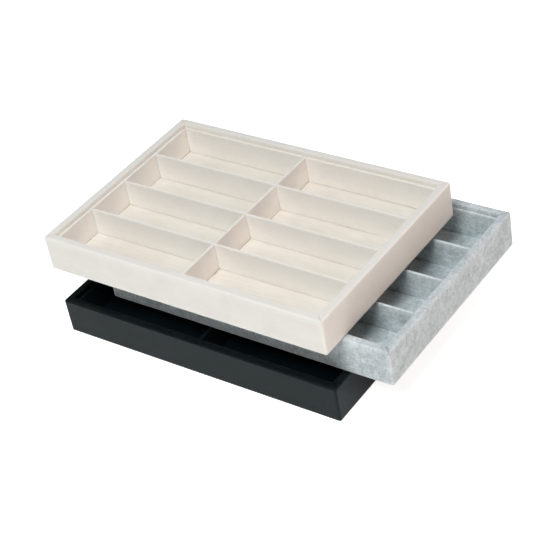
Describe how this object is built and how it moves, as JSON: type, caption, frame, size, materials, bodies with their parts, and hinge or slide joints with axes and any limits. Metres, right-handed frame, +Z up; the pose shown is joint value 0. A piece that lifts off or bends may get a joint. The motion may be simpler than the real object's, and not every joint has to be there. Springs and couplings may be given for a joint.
{
  "type": "stacking glasses organizer",
  "caption": "Stack of loose cloth-covered display trays for spectacles, each a shallow rimmed box with slotted dividers that form long compartments.",
  "frame": {"origin": "centre of the bottom tray's underside, on the surface that the stack stands on", "axes": "+X along the trays' long side, +Y from front to back, +Z up through the stack"},
  "size_m": [0.4016, 0.274, 0.1264],
  "materials": {
    "wooden_box": "matte",
    "floor_card": "matte",
    "underside_sheet": "matte",
    "black_leatherette": "matte",
    "black_velvet": "matte",
    "grey_velvet": "matte",
    "ivory_velvet": "matte"
  },
  "bodies": {
    "bottom_tray": {"bottom_base_board": "wooden_box", "bottom_rail_front": "wooden_box", "bottom_rail_back": "wooden_box", "bottom_rail_left": "wooden_box", "bottom_rail_right": "wooden_box", "bottom_outer_cover": "black_leatherette", "bottom_underside_sheet": "underside_sheet", "bottom_floor_card": "floor_card", "bottom_floor_cover": "black_velvet", "bottom_liner_front": "black_velvet", "bottom_liner_back": "black_velvet", "bottom_liner_left": "black_velvet", "bottom_liner_right": "black_velvet", "bottom_row_divider_front": "black_velvet", "bottom_row_divider_middle": "black_velvet", "bottom_row_divider_back": "black_velvet", "bottom_centre_divider": "black_velvet"},
    "middle_tray": {"middle_base_board": "wooden_box", "middle_rail_front": "wooden_box", "middle_rail_back": "wooden_box", "middle_rail_left": "wooden_box", "middle_rail_right": "wooden_box", "middle_outer_cover": "grey_velvet", "middle_underside_sheet": "underside_sheet", "middle_floor_card": "floor_card", "middle_floor_cover": "grey_velvet", "middle_liner_front": "grey_velvet", "middle_liner_back": "grey_velvet", "middle_liner_left": "grey_velvet", "middle_liner_right": "grey_velvet", "middle_row_divider_front": "grey_velvet", "middle_row_divider_middle": "grey_velvet", "middle_row_divider_back": "grey_velvet", "middle_centre_divider": "grey_velvet"},
    "top_tray": {"top_base_board": "wooden_box", "top_rail_front": "wooden_box", "top_rail_back": "wooden_box", "top_rail_left": "wooden_box", "top_rail_right": "wooden_box", "top_outer_cover": "ivory_velvet", "top_underside_sheet": "underside_sheet", "top_floor_card": "floor_card", "top_floor_cover": "ivory_velvet", "top_liner_front": "ivory_velvet", "top_liner_back": "ivory_velvet", "top_liner_left": "ivory_velvet", "top_liner_right": "ivory_velvet", "top_row_divider_front": "ivory_velvet", "top_row_divider_middle": "ivory_velvet", "top_row_divider_back": "ivory_velvet", "top_centre_divider": "ivory_velvet"}
  },
  "joints": [
    {"name": "middle_tray_lift", "type": "slide", "parent": "bottom_tray", "child": "middle_tray", "axis": [0, 0, 1], "range_m": [0, 0.1]},
    {"name": "top_tray_lift", "type": "slide", "parent": "middle_tray", "child": "top_tray", "axis": [0, 0, 1], "range_m": [0, 0.1]}
  ]
}
